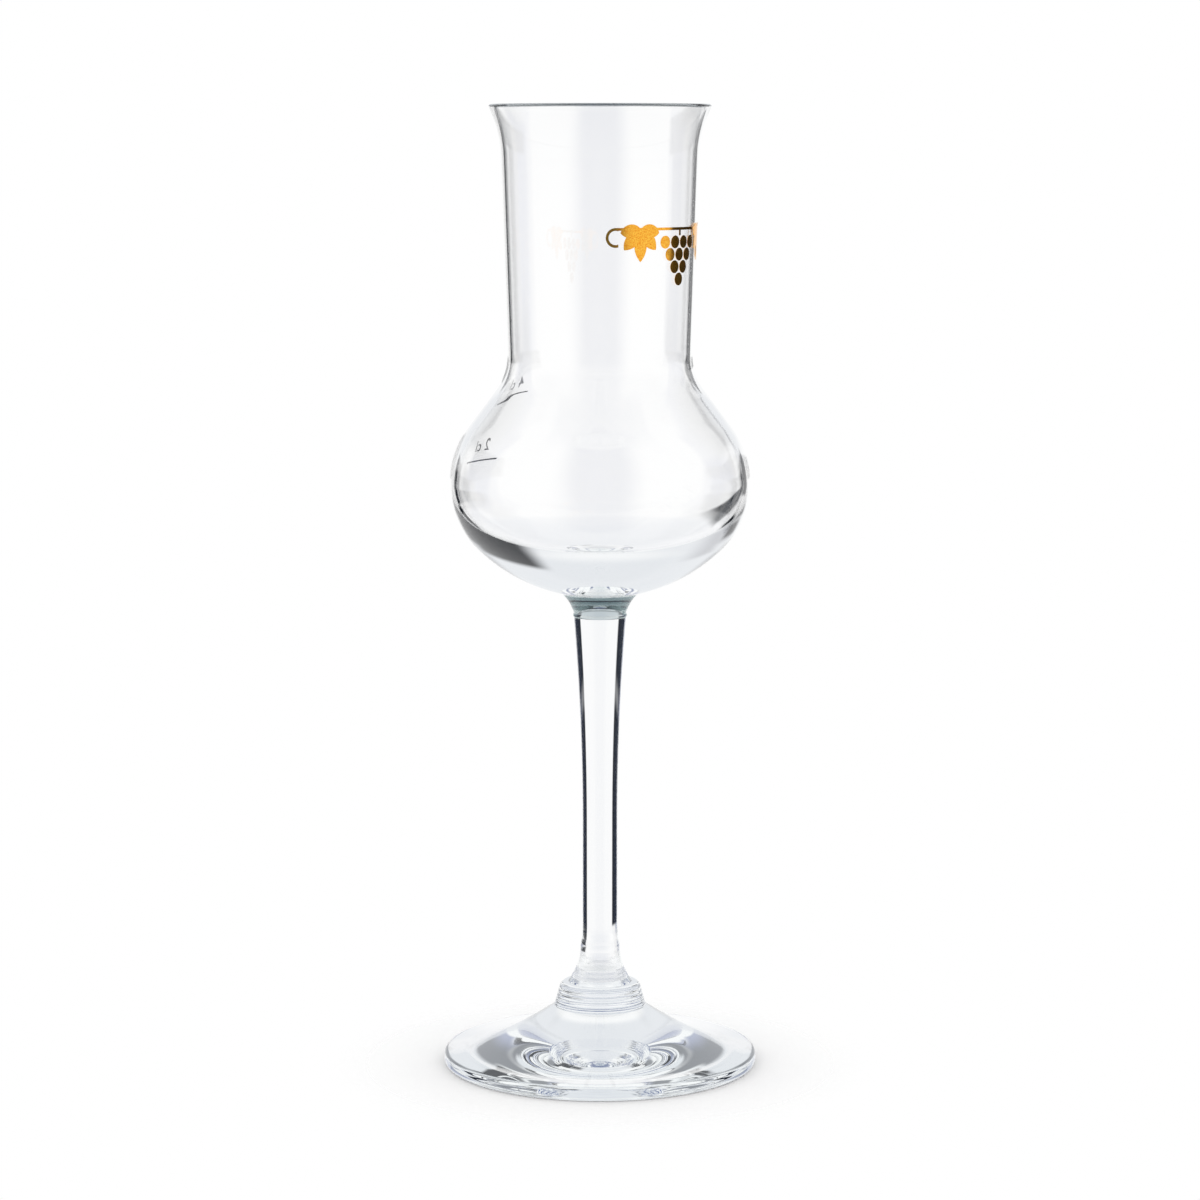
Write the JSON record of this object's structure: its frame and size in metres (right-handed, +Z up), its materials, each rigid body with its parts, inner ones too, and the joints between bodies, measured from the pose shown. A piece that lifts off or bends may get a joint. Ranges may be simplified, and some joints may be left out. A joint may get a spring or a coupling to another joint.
{
  "type": "grappa glass",
  "caption": "Stemmed clear glass for spirits, with an onion bulb under a tall flared chimney, a slim drawn stem, a pressed round foot, fired-on fill lines and a gold vine sprig.",
  "frame": {"origin": "centre of the standing ring under the foot, on the surface that the glass stands on", "axes": "+Z up along the axis of the glass, from the foot to the rim; the fill lines face -X and +Y, and the gold ornament faces +X and -Y"},
  "size_m": [0.058, 0.058, 0.177],
  "materials": {
    "foot_glass": "pressed clear glass, fire-polished, with faint mould rings",
    "stem_glass": "drawn clear glass, fire-polished",
    "collar_glass": "clear glass, fire-polished",
    "bowl_glass": "blown clear glass with a fire-polished rim",
    "mark_enamel": "thin fired-on dark grey enamel print",
    "gold_print": "fired-on bright gold, a thin metal film"
  },
  "bodies": {
    "root": {"foot": "foot_glass", "stem": "stem_glass", "collar": "collar_glass", "bowl": "bowl_glass", "fill_line_2cl": "mark_enamel", "fill_line_4cl": "mark_enamel", "gold_ornament": "gold_print"}
  },
  "joints": []
}
